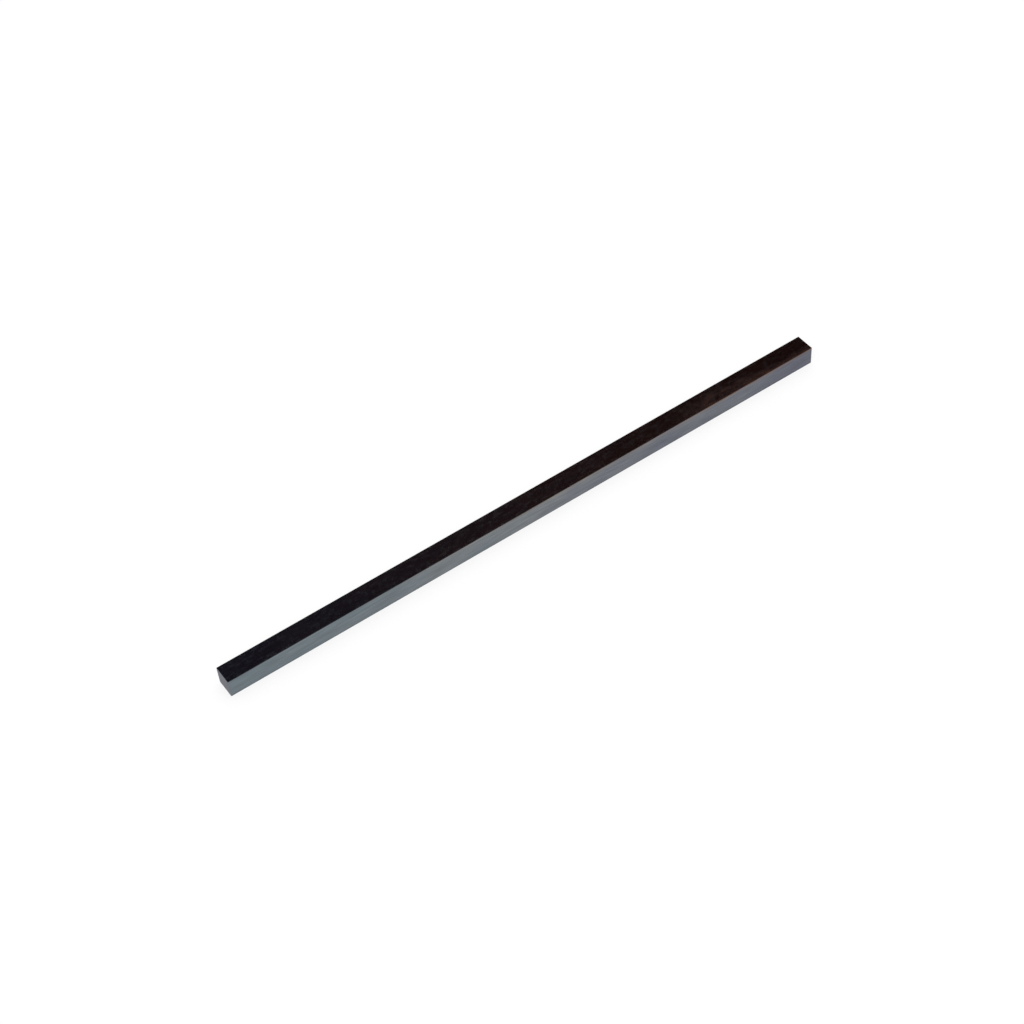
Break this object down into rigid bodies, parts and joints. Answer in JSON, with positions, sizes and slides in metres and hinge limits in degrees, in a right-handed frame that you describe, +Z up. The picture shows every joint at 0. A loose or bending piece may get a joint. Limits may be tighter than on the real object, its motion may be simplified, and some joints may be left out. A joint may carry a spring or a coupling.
{
  "type": "key stock",
  "caption": "Square bright-drawn steel bar with lightly rounded long edges and sawn ends, cut to length as a drive key between a shaft and a hub.",
  "frame": {"origin": "middle of the lower face, which the bar lies on", "axes": "+X along the bar, +Y across it, +Z up from the lower face to the upper face"},
  "size_m": [0.3048, 0.0096, 0.0095],
  "materials": {
    "steel": "gloss"
  },
  "bodies": {
    "root": {"key_bar": "steel"}
  },
  "joints": []
}
